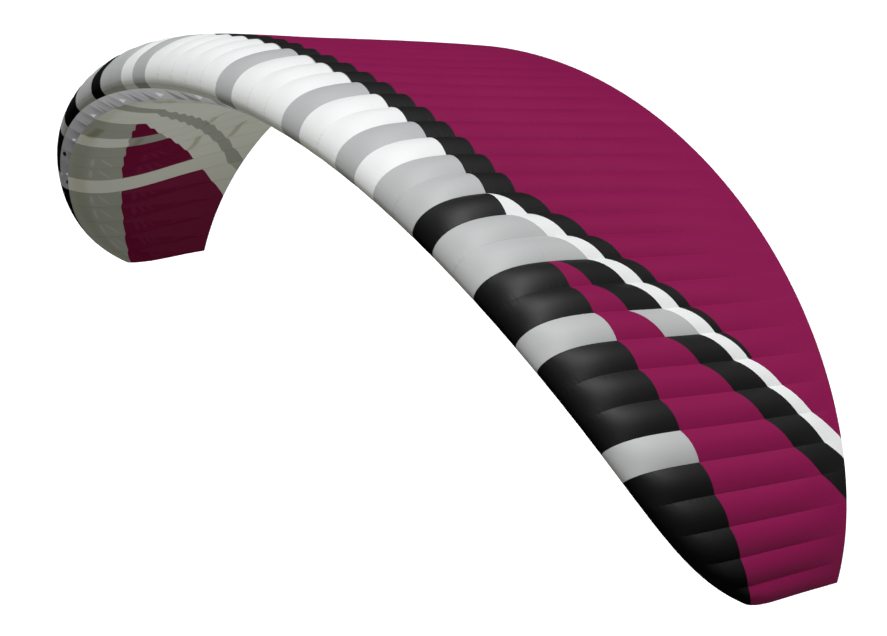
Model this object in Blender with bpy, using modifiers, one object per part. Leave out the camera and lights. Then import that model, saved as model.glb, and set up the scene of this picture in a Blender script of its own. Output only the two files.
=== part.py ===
"""A paraglider wing in flight: a cloth wing of fifty cells, arched from tip to tip and filled by the
air that enters under its nose.

Units are metres, +Z is up, +X runs along the span and +Y runs from the nose to the tail. The origin is
on the lower sail at the middle rib, where the middle suspension line is fastened. Each rib stands in a
plane that holds the direction of flight; the sails are stretched over the ribs and swell between them.
"""

import math

import bpy
import numpy as np
from mathutils import Matrix

# The whole wing, laid flat and in the air.
FLAT_SPAN = 11.4
CELLS = 50
ROOT_CHORD = 2.75
CHORD_SHARE_ON_ARC = 0.30  # this share of every rib's chord lies on the arch line
HANG_SHARE = 0.30  # the middle line is fastened this far back along the middle rib

# Sheets and the gaps between them.
SHEET = 0.002
RIB_SHEET = 0.002
SEAM_GAP = 0.0005
NOSE_SEAM_GAP = 0.0010  # wider, as the two inner edges lean towards each other

# Cell widths: the share of the half span reached at a share of the ribs falls off towards the tips.
CELL_TAPER = 0.09  # cubic part, a slow narrowing
LAST_CELL_TAPER = 0.014  # a high power, which narrows the last two cells only
LAST_CELL_POWER = 25

# Each row adds factor * (share of half span) ** power.
ARCH_DEG = ((1, 43.0), (3, 12.0), (5, 16.0), (9, 20.0))  # power, degrees that the wing leans out
NOSE_SWEEP = ((2, 0.41), (4, 0.47), (8, 0.16), (24, 0.25))  # power, metres back
TAIL_SWEEP = ((2, 0.62), (4, 0.10))  # power, metres forward
INCIDENCE_DEG = ((0, 1.0), (2, -0.8))  # power, degrees nose up

# Rib outline: weights of the four Bernstein terms, times sqrt(u) * (1 - u), as shares of the chord.
UPPER_OUTLINE = (0.37, 0.135, 0.105, 0.12)
LOWER_OUTLINE = (-0.24, -0.31, -0.075, -0.055)
TAIL_HALF = SHEET + SEAM_GAP / 2

# Seam between the nose panels and the upper sail: rib number from a tip, share of chord.
NOSE_SEAM = ((0, 0.03), (1, 0.18), (2, 0.255), (3, 0.285), (5, 0.292), (9, 0.248), (12, 0.205), (25, 0.195))
# Lips of the air inlets on the lower side: rib number from a tip, share of chord.
UPPER_LIP = ((0, 0.004), (7, 0.005), (12, 0.010), (17, 0.017), (25, 0.020))
LOWER_LIP = ((0, 0.024), (5, 0.028), (9, 0.044), (13, 0.062), (18, 0.088), (25, 0.095))
CLOSED_CELLS = 5  # at each tip the nose is closed

# How far a sail swells between two ribs. The fullest swell: rib number from a tip, share of cell width.
FULL_SWELL = ((0, 0.090), (3, 0.115), (8, 0.140), (16, 0.165), (25, 0.115))
# What is left of it along the chord: share of chord, share of the fullest swell.
UPPER_SWELL = ((0.0, 0.20), (0.05, 0.65), (0.15, 1.0), (0.60, 1.0), (0.72, 0.85), (0.83, 0.55), (1.0, 0.0))
LOWER_SWELL = ((0.0, 0.20), (0.10, 0.50), (0.40, 0.55), (0.75, 0.40), (1.0, 0.0))

# Steps of the sails along the chord, from one edge to the other.
NOSE_STEPS = 7
SAIL_SHARES = (0.0, 0.15, 0.33, 0.53, 0.73, 0.91, 1.0)
LOWER_SHARES = (0.0, 0.07, 0.19, 0.35, 0.55, 0.76, 0.93, 1.0)
COLUMNS_PER_CELL = 3

# Lengths that the sails are sewn in, from rib to rib: name, first rib, last rib.
NOSE_LENGTHS = (("nose_panels_left", 0, 17), ("nose_panels_middle", 17, 33), ("nose_panels_right", 33, 50))
UPPER_LENGTHS = (("upper_sail", 0, 50),)
LOWER_LENGTHS = (
    ("lower_sail_left_tip", 0, 13),
    ("lower_sail_left", 13, 25),
    ("lower_sail_right", 25, 37),
    ("lower_sail_right_tip", 37, 50),
)
END_GAP = 0.001  # of a cell's width, left free at each end of a length

# name: colour, roughness
FINISHES = {
    "nose_cloth": ((0.80, 0.81, 0.82, 1.0), 0.45),
    "upper_cloth": ((0.24, 0.013, 0.08, 1.0), 0.50),
    "lower_cloth": ((0.42, 0.43, 0.38, 1.0), 0.60),
    "rib_cloth": ((0.75, 0.76, 0.78, 1.0), 0.60),
}


def clear_scene():
    for item in list(bpy.data.objects):
        bpy.data.objects.remove(item, do_unlink=True)


def power_sum(share, rows):
    return sum(factor * share**power for power, factor in rows)


def from_table(rows, value):
    keys, values = zip(*rows)
    return float(np.interp(value, keys, values))


def make_arch(steps=2000):
    """Share of half span, and the arch line's distance out and down at it, by adding small chords."""
    share = np.linspace(0.0, 1.0, steps + 1)
    lean = np.radians(power_sum(share, ARCH_DEG))
    step = FLAT_SPAN / 2 / steps
    middle = (lean[1:] + lean[:-1]) / 2
    out = np.concatenate([[0.0], np.cumsum(np.cos(middle)) * step])
    down = np.concatenate([[0.0], np.cumsum(np.sin(middle)) * step])
    return share, out, down


ARCH = make_arch()


class Section:
    """The wing cut at one rib number, which may lie between two ribs: 0 is the +X tip."""

    def __init__(self, rib):
        side = 1.0 - 2.0 * rib / CELLS
        reach = abs(side)
        self.from_tip = min(rib, CELLS - rib)
        share = (
            reach * (1 + CELL_TAPER + LAST_CELL_TAPER)
            - CELL_TAPER * reach**3
            - LAST_CELL_TAPER * reach**LAST_CELL_POWER
        )
        sign = math.copysign(1.0, side) if side else 1.0
        lean = math.radians(power_sum(share, ARCH_DEG)) * sign
        rise = math.radians(power_sum(share, INCIDENCE_DEG))
        nose_y = power_sum(share, NOSE_SWEEP)
        self.chord = ROOT_CHORD - power_sum(share, TAIL_SWEEP) - nose_y
        self.across = np.array([math.cos(lean), 0.0, -math.sin(lean)])
        outward = np.array([math.sin(lean), 0.0, math.cos(lean)])
        back = np.array([0.0, 1.0, 0.0])
        self.back = math.cos(rise) * back - math.sin(rise) * outward
        self.up = math.cos(rise) * outward + math.sin(rise) * back
        on_arc = np.array(
            [
                np.interp(share, ARCH[0], ARCH[1]) * sign,
                nose_y + CHORD_SHARE_ON_ARC * self.chord,
                -np.interp(share, ARCH[0], ARCH[2]),
            ]
        )
        self.nose = on_arc - CHORD_SHARE_ON_ARC * self.chord * self.back

    def height(self, share, weights):
        """Distance from the chord line, in metres, at a share of the chord."""
        a, b, c, d = weights
        rest = 1.0 - share
        shape = a * rest**3 + 3 * b * share * rest**2 + 3 * c * share**2 * rest + d * share**3
        tail = math.copysign(TAIL_HALF, a) * share
        return self.chord * math.sqrt(share) * rest * shape + tail

    def flat_point(self, run):
        """(back, up) in metres. run is +sqrt(share of chord) on the upper side and -sqrt on the lower."""
        share = run * run
        return self.chord * share, self.height(share, UPPER_OUTLINE if run >= 0 else LOWER_OUTLINE)

    def flat_normal(self, run, step=1e-4):
        """The outward direction in the rib's own plane. Across the nose it looks to both sides."""
        ahead = min(run + step, 1.0)
        behind = max(run - step, -1.0)
        (x1, y1), (x0, y0) = self.flat_point(ahead), self.flat_point(behind)
        length = math.hypot(x1 - x0, y1 - y0)
        return -(y1 - y0) / length, (x1 - x0) / length

    def place(self, back, up):
        return self.nose + back * self.back + up * self.up

    def point(self, run, raised=0.0):
        back, up = self.flat_point(run)
        normal_back, normal_up = self.flat_normal(run)
        return self.place(back + raised * normal_back, up + raised * normal_up)


def swell_at(rib, run, width):
    """Height of the swelling, a parabola from rib to rib."""
    between = rib - math.floor(rib)
    full = from_table(FULL_SWELL, min(rib, CELLS - rib)) * width
    left = from_table(UPPER_SWELL if run >= 0 else LOWER_SWELL, run * run)
    return full * left * 4 * between * (1 - between)


def sail_point(rib, run):
    """A point of a sail: on the rib's outline at a rib, and raised by the swelling between two."""
    inner = math.floor(rib)
    if rib == inner:
        return Section(rib).point(run)
    width = float(np.linalg.norm(Section(inner).point(run) - Section(inner + 1).point(run)))
    return Section(rib).point(run, swell_at(rib, run, width))


def nose_run(rib, step):
    """Runs of the nose panels: from the inlet's upper lip, round the nose, to the seam."""
    tip = Section(rib).from_tip
    first = -math.sqrt(from_table(UPPER_LIP, tip))
    last = math.sqrt(from_table(NOSE_SEAM, tip))
    return first + (last - first) * step / NOSE_STEPS


def sail_run(rib, step):
    section = Section(rib)
    start = from_table(NOSE_SEAM, section.from_tip) + NOSE_SEAM_GAP / section.chord
    return math.sqrt(start + (1.0 - start) * SAIL_SHARES[step])


def lower_run(rib, step):
    """Runs of the lower sail. The first two rows lie ahead of the inlets, on the closed cells alone."""
    section = Section(rib)
    lip = from_table(UPPER_LIP, section.from_tip)
    front = from_table(LOWER_LIP, section.from_tip)
    if step < 2:
        start = math.sqrt(lip) + SEAM_GAP / (section.chord * 2 * math.sqrt(lip))
        return -(start + (math.sqrt(front) - start) * step / 2)
    share = LOWER_SHARES[step - 2]
    return -math.sqrt(front + (1.0 - front) * share)


def origin_shift():
    return Section(CELLS / 2).point(-math.sqrt(HANG_SHARE))


ORIGIN = origin_shift()


def material(name):
    colour, roughness = FINISHES[name]
    made = bpy.data.materials.new(name)
    made.use_nodes = True
    shader = made.node_tree.nodes["Principled BSDF"]
    shader.inputs["Base Color"].default_value = colour
    shader.inputs["Roughness"].default_value = roughness
    shader.inputs["Metallic"].default_value = 0.0
    made.diffuse_color = colour
    return made


def is_inlet(run_of, cell, row):
    """The lower sail's first two rows are left out where a cell has an inlet."""
    return run_of is lower_run and row < 2 and CLOSED_CELLS <= cell < CELLS - CLOSED_CELLS


def add_sheet(name, first, last, finish, collection, run_of, rows, faces_down):
    """An open surface from the first rib to the last, thickened inwards."""
    points = {}
    vertices, faces = [], []

    def corner(column, row):
        if (column, row) not in points:
            rib = min(max(column / COLUMNS_PER_CELL, first + END_GAP), last - END_GAP)
            points[column, row] = len(vertices)
            vertices.append(tuple(sail_point(rib, run_of(rib, row)) - ORIGIN))
        return points[column, row]

    for column in range(first * COLUMNS_PER_CELL, last * COLUMNS_PER_CELL):
        for row in range(rows - 1):
            if is_inlet(run_of, column // COLUMNS_PER_CELL, row):
                continue
            ring = [corner(column, row), corner(column, row + 1)]
            ring += [corner(column + 1, row + 1), corner(column + 1, row)]
            faces.append(ring[::-1] if faces_down else ring)
    mesh = bpy.data.meshes.new(name)
    mesh.from_pydata(vertices, [], faces)
    mesh.materials.append(finish)
    mesh.shade_smooth()
    item = bpy.data.objects.new(name, mesh)
    collection.objects.link(item)
    solid = item.modifiers.new("cloth_thickness", "SOLIDIFY")
    solid.thickness = SHEET
    solid.offset = -1.0
    return item


def rib_outline(number):
    """The rib's edge in its own plane, just inside the sails, from the tail round the nose and back."""
    rib = float(number)
    runs = [sail_run(rib, step) for step in range(len(SAIL_SHARES) - 2, -1, -1)]
    runs += [nose_run(rib, step) for step in range(NOSE_STEPS - 2, -1, -2)]
    runs += [lower_run(rib, step) for step in range(2, len(LOWER_SHARES) + 1)]
    section = Section(rib)
    outline = []
    for run in runs:
        back, up = section.flat_point(run)
        normal_back, normal_up = section.flat_normal(run)
        inset = rib_inset(section, rib, run)
        outline.append((back - inset * normal_back, up - inset * normal_up))
    return section, outline


def rib_inset(section, rib, run, step=0.02):
    """How far the rib's edge lies inside the sail, in the rib's plane, where the sail may run askew to it."""
    inboard, outboard = Section(min(rib + step, CELLS)), Section(max(rib - step, 0.0))
    across = inboard.point(run) - outboard.point(run)
    normal_back, normal_up = section.flat_normal(run)
    outward = normal_back * section.back + normal_up * section.up
    along = np.cross(outward, section.across)
    facing = np.cross(across, along)
    lean = min(abs(float(facing @ outward)) / float(np.linalg.norm(facing)), 1.0)
    return SHEET / lean + RIB_SHEET / 2 * math.sqrt(1 / lean**2 - 1) + SEAM_GAP


def add_rib(number, finish, collection):
    name = f"rib_{number:02d}"
    section, outline = rib_outline(number)
    curve = bpy.data.curves.new(name, "CURVE")
    curve.dimensions = "2D"
    curve.fill_mode = "BOTH"
    curve.extrude = RIB_SHEET / 2
    spline = curve.splines.new("POLY")
    spline.points.add(len(outline) - 1)
    for spot, (back, up) in zip(spline.points, outline):
        spot.co = (back, up, 0.0, 1.0)
    spline.use_cyclic_u = True
    curve.materials.append(finish)
    item = bpy.data.objects.new(name, curve)
    collection.objects.link(item)
    columns = (section.back, section.up, np.cross(section.back, section.up), section.nose - ORIGIN)
    item.matrix_world = Matrix([*np.array(columns).T.tolist(), (0.0, 0.0, 0.0, 1.0)])
    return item


def build():
    clear_scene()
    wing = bpy.data.collections.new("paraglider_wing")
    bpy.context.scene.collection.children.link(wing)
    finishes = {name: material(name) for name in FINISHES}
    sheets = (
        (NOSE_LENGTHS, "nose_cloth", nose_run, NOSE_STEPS + 1, False),
        (UPPER_LENGTHS, "upper_cloth", sail_run, len(SAIL_SHARES), False),
        (LOWER_LENGTHS, "lower_cloth", lower_run, len(LOWER_SHARES) + 2, True),
    )
    for lengths, finish, run_of, rows, faces_down in sheets:
        for name, first, last in lengths:
            add_sheet(name, first, last, finishes[finish], wing, run_of, rows, faces_down)
    for number in range(CELLS + 1):
        add_rib(number, finishes["rib_cloth"], wing)


build()
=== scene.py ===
# %% [markdown]
# # The looks of a paraglider wing
#
# A paraglider is a wing of thin coated cloth. Fifty cells lie side by side, and each is held in shape by
# the air that enters under its nose. The solids of the wing are already there: this lesson dresses them
# with finely curved cloth, coloured panels, seams and stitches, and then lights the wing.
#
# The frame comes first. Its bodies and nodes say where everything is, and its box is kept: the floor is laid
# below it.

# %% Load the frame
import math

import bmesh
import bpy
import numpy as np
from mathutils import Matrix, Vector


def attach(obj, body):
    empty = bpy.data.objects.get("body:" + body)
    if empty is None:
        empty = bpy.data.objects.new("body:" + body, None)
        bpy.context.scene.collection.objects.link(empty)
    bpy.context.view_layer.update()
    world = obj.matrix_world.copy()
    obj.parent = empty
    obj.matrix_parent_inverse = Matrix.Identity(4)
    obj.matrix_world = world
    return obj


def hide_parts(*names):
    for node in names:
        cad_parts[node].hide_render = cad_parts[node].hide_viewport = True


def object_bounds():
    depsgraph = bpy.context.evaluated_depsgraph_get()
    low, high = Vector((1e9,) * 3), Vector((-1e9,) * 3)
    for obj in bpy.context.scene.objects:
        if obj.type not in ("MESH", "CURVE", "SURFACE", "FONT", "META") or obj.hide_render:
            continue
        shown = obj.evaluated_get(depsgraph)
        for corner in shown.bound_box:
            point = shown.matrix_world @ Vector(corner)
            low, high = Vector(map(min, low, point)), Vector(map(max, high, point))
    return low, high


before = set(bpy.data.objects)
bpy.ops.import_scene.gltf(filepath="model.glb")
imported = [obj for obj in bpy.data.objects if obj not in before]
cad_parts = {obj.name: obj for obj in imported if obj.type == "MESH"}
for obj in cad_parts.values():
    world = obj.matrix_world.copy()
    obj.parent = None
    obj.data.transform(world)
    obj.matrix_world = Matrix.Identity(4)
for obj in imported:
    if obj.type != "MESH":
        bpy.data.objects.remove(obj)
cad_box = [list(corner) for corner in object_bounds()]
nodes = sorted(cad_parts)
print(f"{len(nodes)} nodes, from {np.round(cad_box[0], 3)} to {np.round(cad_box[1], 3)}")

# %% [markdown]
# ## The driving sizes
#
# The cloth must lie where the solids lie. It could be copied from them, but they are coarse, so it is
# worked out anew from the same sizes: the flat span, the chord, the arch, the sweep of nose and tail, and
# the outline of a rib. A rib number counts from the tip at +X, and a share of the chord from the nose.
# Both run on smoothly between the ribs, so any point of the wing is one pair of numbers.

# %% Name the sizes of the plan
FLAT_SPAN = 11.4
CELLS = 50
ROOT_CHORD = 2.75
CHORD_SHARE_ON_ARC = 0.30
HANG_SHARE = 0.30
CELL_TAPER = 0.09
LAST_CELL_TAPER = 0.014
LAST_CELL_POWER = 25
CLOSED_CELLS = 5

ARCH_DEG = ((1, 43.0), (3, 12.0), (5, 16.0), (9, 20.0))  # power, degrees that the wing leans out
NOSE_SWEEP = ((2, 0.41), (4, 0.47), (8, 0.16), (24, 0.25))  # power, metres back
TAIL_SWEEP = ((2, 0.62), (4, 0.10))  # power, metres forward
INCIDENCE_DEG = ((0, 1.0), (2, -0.8))  # power, degrees nose up

print(f"{CELLS} cells, {FLAT_SPAN / CELLS * 1000:.0f} mm wide on average")


# %% Draw the arch
def power_sum(share, rows):
    return sum(factor * share**power for power, factor in rows)


def make_arch(steps=2000):
    """Share of half span, and the arch line's distance out and down at it, by adding small chords."""
    share = np.linspace(0.0, 1.0, steps + 1)
    lean = np.radians(power_sum(share, ARCH_DEG))
    step = FLAT_SPAN / 2 / steps
    middle = (lean[1:] + lean[:-1]) / 2
    out = np.concatenate([[0.0], np.cumsum(np.cos(middle)) * step])
    down = np.concatenate([[0.0], np.cumsum(np.sin(middle)) * step])
    return share, out, down


ARCH = make_arch()
print(f"the arch is {2 * ARCH[1][-1]:.2f} m wide, and its tips hang {ARCH[2][-1]:.2f} m down")

# %% Make a section of the wing
SHEET = 0.002
SEAM_GAP = 0.0005
TAIL_HALF = SHEET + SEAM_GAP / 2
UPPER_OUTLINE = (0.37, 0.135, 0.105, 0.12)
LOWER_OUTLINE = (-0.24, -0.31, -0.075, -0.055)


class Section:
    """The wing cut at one rib number. A run is +sqrt(share of chord) above and -sqrt(share) below."""

    def __init__(self, rib):
        side = 1.0 - 2.0 * rib / CELLS
        reach = abs(side)
        self.from_tip = min(rib, CELLS - rib)
        share = (
            reach * (1 + CELL_TAPER + LAST_CELL_TAPER)
            - CELL_TAPER * reach**3
            - LAST_CELL_TAPER * reach**LAST_CELL_POWER
        )
        sign = math.copysign(1.0, side) if side else 1.0
        lean = math.radians(power_sum(share, ARCH_DEG)) * sign
        rise = math.radians(power_sum(share, INCIDENCE_DEG))
        nose_y = power_sum(share, NOSE_SWEEP)
        self.along_arch = share * sign * FLAT_SPAN / 2
        self.chord = ROOT_CHORD - power_sum(share, TAIL_SWEEP) - nose_y
        self.across = np.array([math.cos(lean), 0.0, -math.sin(lean)])
        outward = np.array([math.sin(lean), 0.0, math.cos(lean)])
        back = np.array([0.0, 1.0, 0.0])
        self.back = math.cos(rise) * back - math.sin(rise) * outward
        self.up = math.cos(rise) * outward + math.sin(rise) * back
        out = float(np.interp(share, ARCH[0], ARCH[1])) * sign
        down = float(np.interp(share, ARCH[0], ARCH[2]))
        on_arc = np.array([out, nose_y + CHORD_SHARE_ON_ARC * self.chord, -down])
        self.nose = on_arc - CHORD_SHARE_ON_ARC * self.chord * self.back

    def flat_points(self, runs):
        """Distances back and up from the nose, in metres."""
        share = runs * runs
        rest = 1.0 - share
        above = runs >= 0
        a, b, c, d = (np.where(above, up, low) for up, low in zip(UPPER_OUTLINE, LOWER_OUTLINE))
        shape = a * rest**3 + 3 * b * share * rest**2 + 3 * c * share**2 * rest + d * share**3
        tail = np.where(above, TAIL_HALF, -TAIL_HALF) * share
        return self.chord * share, self.chord * np.sqrt(share) * rest * shape + tail

    def flat_normals(self, runs, step=1e-4):
        ahead = self.flat_points(np.minimum(runs + step, 1.0))
        behind = self.flat_points(np.maximum(runs - step, -1.0))
        x, y = ahead[0] - behind[0], ahead[1] - behind[1]
        length = np.hypot(x, y)
        return -y / length, x / length

    def points(self, runs, raised=0.0):
        runs = np.asarray(runs, float)
        back, up = self.flat_points(runs)
        normal_back, normal_up = self.flat_normals(runs)
        back, up = back + raised * normal_back, up + raised * normal_up
        return self.nose + back[:, None] * self.back + up[:, None] * self.up


MIDDLE_RIB = CELLS // 2
middle = Section(MIDDLE_RIB)
ORIGIN = middle.points([-math.sqrt(HANG_SHARE)])[0]
tip = Section(0)
print(f"middle chord {middle.chord:.2f} m, tip chord {tip.chord:.2f} m, origin at {np.round(ORIGIN, 3)}")

# %% [markdown]
# ## The swelling of a cell
#
# Air pushes the cloth out between two ribs, and the ribs hold it in. Across a cell the cloth then takes
# the line of a shallow arc, which a parabola draws well. It is fullest behind the nose and dies out at
# the tail, where upper and lower cloth are sewn together. A cloth simulation could find the same shape,
# but it would take long and come out a little different each time.

# %% Swell the cloth between the ribs
COLUMNS_PER_CELL = 8
# The fullest swell of a cell: rib number from a tip, share of the cell's width.
FULL_SWELL = ((0, 0.090), (3, 0.115), (8, 0.140), (16, 0.165), (25, 0.115))
# What is left of it along the chord: share of chord, share of the fullest swell.
UPPER_SWELL = (
    (0.0, 0.0), (0.02, 0.05), (0.05, 0.35), (0.10, 0.75), (0.15, 0.95), (0.20, 1.0),
    (0.60, 1.0), (0.72, 0.85), (0.83, 0.55), (1.0, 0.0),
)
LOWER_SWELL = ((0.0, 0.0), (0.03, 0.05), (0.10, 0.20), (0.25, 0.45), (0.45, 0.55), (0.75, 0.40), (1.0, 0.0))


def from_table(rows, value):
    keys, values = zip(*rows)
    return np.interp(value, keys, values)


def sail_points(rib, runs):
    """One column of cloth from nose to tail, in the frame's metres."""
    runs = np.asarray(runs, float)
    section = Section(rib)
    inner = math.floor(rib)
    between = rib - inner
    raised = np.zeros(len(runs))
    if between:
        gap = Section(inner).points(runs) - Section(inner + 1).points(runs)
        full = from_table(FULL_SWELL, section.from_tip) * np.linalg.norm(gap, axis=1)
        share = runs * runs
        left = np.where(runs >= 0, from_table(UPPER_SWELL, share), from_table(LOWER_SWELL, share))
        raised = full * left * 4 * between * (1 - between)
    return section.points(runs, raised) - ORIGIN


probe = sail_points(16.5, [0.6])[0] - (sail_points(16, [0.6])[0] + sail_points(17, [0.6])[0]) / 2
print(f"a cell near the middle of a half swells by {np.linalg.norm(probe) * 1000:.0f} mm")

# %% [markdown]
# ## The seams
#
# The wing is sewn from coloured cloth, so a stripe is a panel with a seam at each edge and not paint.
# Each seam is a short table: how far back it lies on each rib. A share past 1 means that the seam has run
# out over the tail. The stripes slant from the nose seam in the middle to the tail near the tips. On the
# lower sail the piece of a seam in each cell is turned a little, so that the seam steps at every rib.

# %% Lay out the seams
# Rib number from a tip, share of chord.
NOSE_SEAM = ((0, 0.03), (1, 0.18), (2, 0.255), (3, 0.285), (5, 0.292), (9, 0.248), (12, 0.205), (25, 0.195))
UPPER_LIP = ((0, 0.004), (7, 0.005), (12, 0.010), (17, 0.017), (25, 0.020))
LOWER_LIP = ((0, 0.024), (5, 0.028), (9, 0.044), (13, 0.062), (18, 0.088), (25, 0.095))
# Where the nose's cloth ends on the closed cells, and the inlet's lower lip on the others.
LOWER_FRONT = ((0, 0.0), (2, 0.004), (3, 0.010), (4, 0.020), *LOWER_LIP[1:])
SLANT_SEAM = (
    (0, 1.4), (3, 1.007), (4, 0.871), (5, 0.760), (6, 0.668), (8, 0.506), (10, 0.360), (12, 0.236), (13, 0.2),
)
WHITE_FRONT = (
    (0, 1.6), (4, 1.060), (5, 0.912), (6, 0.825), (8, 0.645), (10, 0.486), (12, 0.347), (14, 0.206),
    (15, 0.2),
)
WHITE_REAR = ((0, 1.6), (5, 1.005), (6, 0.887), (8, 0.705), (10, 0.549), (12, 0.407), (14, 0.272), (15, 0.2))
BLACK_REAR = (
    (7, 0.0), (8, 0.721), (10, 0.592), (12, 0.469), (14, 0.351), (15, 0.297), (20, 0.283), (25, 0.266),
)

NOSE_SEAM_GAP = 0.0002
SLANT_STEP = 0.011  # share of chord
FRONT_STEP = -0.011
FIRST_STEP_LEFT = 0.65  # what the slant seam has of the step
STEPPED_RIBS = 14  # from a tip


def from_tip_line(rows):
    return lambda rib: float(from_table(rows, min(rib, CELLS - rib)))


def nose_start(rib):
    return from_tip_line(NOSE_SEAM)(rib) + NOSE_SEAM_GAP / Section(rib).chord


def stepped_line(rows, step):
    """A seam that is cut cell by cell, so that it steps a little at each rib."""
    straight = from_tip_line(rows)

    def line(rib):
        from_tip = min(rib, CELLS - rib)
        outward = -from_tip % 1.0
        return straight(rib) + (step * (0.5 - outward) if outward and from_tip < STEPPED_RIBS else 0.0)

    return line


for rib in (5, 10, 15):
    print(f"on rib {rib} the white stripe starts at {from_tip_line(WHITE_FRONT)(rib):.2f} of the chord")

# %% [markdown]
# ## The colours of the cloth
#
# Each cell's nose is a panel of its own colour: black and light grey near the tips, white and grey in the
# middle. The stripes of the upper sail and the stripe of the lower one are panels too. So the colour of a
# piece follows from two numbers only, its cell and the band between two seams that it lies in. Both
# halves are alike, but for two grey cells near the middle.

# %% Choose the cloth of each panel
# Cells from a tip with a coloured nose. The others are white.
NOSE_CELLS = {
    "black": (0, 1, 2, 3, 4, 6, 7, 8, 10, 11, 14),
    "light_grey": (5, 9, 12, 13, 15, 16),
    "grey": (18,),
}
GREY_MIDDLE_CELLS = (21, 25)  # counted from the tip at +X
# The others are counted from a tip.
MAGENTA_SLANT_CELLS = 12
GREY_STRIPE_CELLS = (9, 12, 13)
FIRST_BLACK_REAR_CELL = 8
LOWER_PALE_CELL = 5
LOWER_MID_CELL = 9


def nose_cloth(cell, band):
    """The hem, the strip above the inlet that faces down, is painted darker and more olive, as shade."""
    from_tip = min(cell, CELLS - 1 - cell)
    cloth = "grey" if cell in GREY_MIDDLE_CELLS else "white"
    for name, cells in NOSE_CELLS.items():
        if from_tip in cells:
            cloth = name
    return cloth + "_hem" if band == 0 and cloth != "black" else cloth


def upper_cloth(cell, band):
    """Bands from the nose seam back: slant panel, dark stripe, white stripe, rear stripe, main field."""
    from_tip = min(cell, CELLS - 1 - cell)
    if band == 0:
        return "magenta" if from_tip < MAGENTA_SLANT_CELLS else "light_grey"
    if band == 1:
        return "light_grey" if from_tip in GREY_STRIPE_CELLS else "black"
    if band == 2:
        return "white"
    return "black" if band == 3 and from_tip >= FIRST_BLACK_REAR_CELL else "magenta"


def lower_cloth(cell, band):
    """Bands from the front back: closed nose, front, coloured field, pale, diagonal stripe, rear."""
    from_tip = min(cell, CELLS - 1 - cell)
    if band == 0:
        return "black"
    if band == 1:
        return "lower_grey" if nose_cloth(from_tip, 1) == "black" else "lower_pale"
    if band == 2 and from_tip == LOWER_MID_CELL:
        return "lower_mid"
    if band == 2 and from_tip < MAGENTA_SLANT_CELLS and from_tip != LOWER_PALE_CELL:
        return "lower_magenta"
    return "lower_grey" if band == 4 else "lower_pale"


print(f"the first ten noses are {', '.join(nose_cloth(cell, 1) for cell in range(10))}")

# %% List the cloths
# name: colour, roughness, shine, and how much of the painted shadows and painted light shows through it
CLOTHS = {
    "white": ((0.84, 0.85, 0.855), 0.60, 0.35, 0.0, 0.0),
    "light_grey": ((0.482, 0.49, 0.496), 0.60, 0.35, 0.0, 0.0),
    "grey": ((0.465, 0.47, 0.48), 0.60, 0.35, 0.0, 0.0),
    # The hems face down, and their darker, more olive colours are painted shade.
    "white_hem": ((0.64, 0.645, 0.59), 0.65, 0.20, 0.0, 0.0),
    "light_grey_hem": ((0.36, 0.365, 0.33), 0.65, 0.20, 0.0, 0.0),
    "grey_hem": ((0.28, 0.285, 0.255), 0.65, 0.20, 0.0, 0.0),
    "black": ((0.0030, 0.0030, 0.0030), 0.62, 0.43, 0.0, 0.0),
    "magenta": ((0.245, 0.0065, 0.074), 0.60, 0.17, 0.0, 0.0),
    "lower_pale": ((0.865, 0.87, 0.835), 0.60, 0.20, 1.0, 0.0),
    "lower_mid": ((0.435, 0.430, 0.405), 0.60, 0.20, 0.8, 0.0),
    "lower_grey": ((0.452, 0.462, 0.425), 0.60, 0.20, 0.9, 1.0),
    "lower_magenta": ((0.206, 0.002, 0.049), 0.60, 0.10, 0.4, 0.60),
}
shiniest = max(CLOTHS, key=lambda name: CLOTHS[name][2])
print(f"{len(CLOTHS)} cloths, and the {shiniest} one shines most")

# %% [markdown]
# ## Sheets of cloth
#
# A sail is a grid of points. It could be one plain grid with its stripes painted on, but a painted edge
# turns to steps from close by. Here the columns follow the ribs and the rows follow the seams, so every
# colour ends exactly on an edge of the mesh. Where a stripe ends, its rows fall together and are welded.
# The edges on a rib and the rim of the sheet are marked sharp, because the cloth is creased there.

# %% Cut a column into bands, and crease the cloth
WELD_DISTANCE = 2e-5
SAME_RIB = 1e-4


def band_shares(rib, lines, steps):
    """Shares of the rows at this rib: each band between two lines is cut into its number of steps."""
    ends = np.clip(np.maximum.accumulate([line(rib) for line in lines]), 0.0, 1.0)
    rows = [np.linspace(ends[i], ends[i + 1], steps[i] + 1)[:-1] for i in range(len(steps))]
    return np.concatenate([*rows, ends[-1:]])


def crease_and_weld(mesh):
    """Welds rows that fell together, and marks the rim and the edges along a rib as sharp."""
    work = bmesh.new()
    work.from_mesh(mesh)
    loose = [point for point in work.verts if not point.link_faces]
    bmesh.ops.delete(work, geom=loose, context="VERTS")
    bmesh.ops.remove_doubles(work, verts=work.verts, dist=WELD_DISTANCE)
    number = work.verts.layers.float["rib"]
    for edge in work.edges:
        first, last = (point[number] for point in edge.verts)
        on_rib = abs(first - last) < SAME_RIB and abs(first - round(first)) < SAME_RIB
        edge.smooth = not (on_rib or edge.is_boundary)
    work.to_mesh(mesh)
    work.free()


sample = band_shares(10.0, [nose_start, from_tip_line(SLANT_SEAM)], (4,))
print(f"one band on rib 10, cut in 4 steps: {np.round(sample, 3)}")

# %% [markdown]
# ## Maps on the cloth
#
# Three maps are laid over the cloth and read by the materials later: the place (rib number and share of
# chord), the thread (metres across and along), and the panel (metres from its front and rear seam). One
# unwrapped map would not do, since a weave needs metres and a seam needs to know where the panel ends.


# %% Make one sheet of cloth
def add_map(mesh, name, corners):
    layer = mesh.uv_layers.new(name=name)
    layer.data.foreach_set("uv", np.asarray(corners, np.float32).ravel())


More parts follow.
